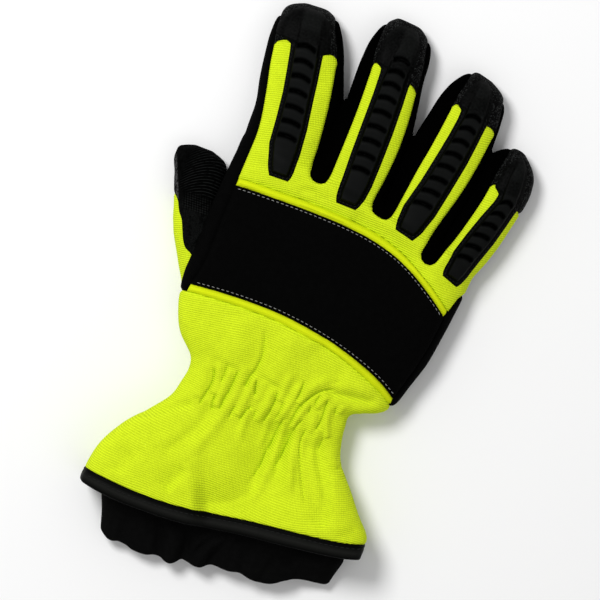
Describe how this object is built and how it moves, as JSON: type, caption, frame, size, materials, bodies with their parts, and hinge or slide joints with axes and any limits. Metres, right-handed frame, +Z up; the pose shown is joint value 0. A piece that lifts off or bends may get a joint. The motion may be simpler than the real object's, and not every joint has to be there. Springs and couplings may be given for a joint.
{
  "type": "extrication glove",
  "caption": "Rescue glove lying palm down: bright knit back, padded knuckle band, ribbed finger guards, black side panels, flared gauntlet with bound hem and a knit liner.",
  "frame": {"origin": "middle of the glove's outline, on the surface that it lies on", "axes": "+Y from the cuff to the fingertips, +X across the hand to the little finger's side, +Z up from the palm to the back of the hand"},
  "size_m": [0.1652, 0.2852, 0.0345],
  "materials": {
    "bright_knit": "high-visibility ribbed knit",
    "black_stretch": "smooth stretch cloth",
    "grip_cloth": "pebbled coated cloth",
    "padded_band": "matt padded cloth",
    "moulded_rubber": "satin moulded",
    "vinyl_binding": "smooth coated tape",
    "liner_knit": "soft brushed knit"
  },
  "bodies": {
    "root": {"hand_back": "bright_knit", "knuckle_band": "padded_band", "band_welt_top": "bright_knit", "band_welt_foot": "bright_knit", "gauntlet_back": "bright_knit", "gauntlet_palm": "grip_cloth", "palm_panel": "grip_cloth", "side_panel_thumb_edge": "black_stretch", "gusset_index_middle": "black_stretch", "gusset_middle_ring": "black_stretch", "gusset_ring_little": "black_stretch", "side_panel_little_edge": "black_stretch", "thumb_side": "bright_knit", "thumb_back": "grip_cloth", "thumb_palm": "grip_cloth", "hem_binding": "vinyl_binding", "liner_cuff": "liner_knit", "fingertip_index": "grip_cloth", "guard_index": "moulded_rubber", "fingertip_middle": "grip_cloth", "guard_middle": "moulded_rubber", "fingertip_ring": "grip_cloth", "guard_ring": "moulded_rubber", "fingertip_little": "grip_cloth", "guard_little": "moulded_rubber"}
  },
  "joints": []
}
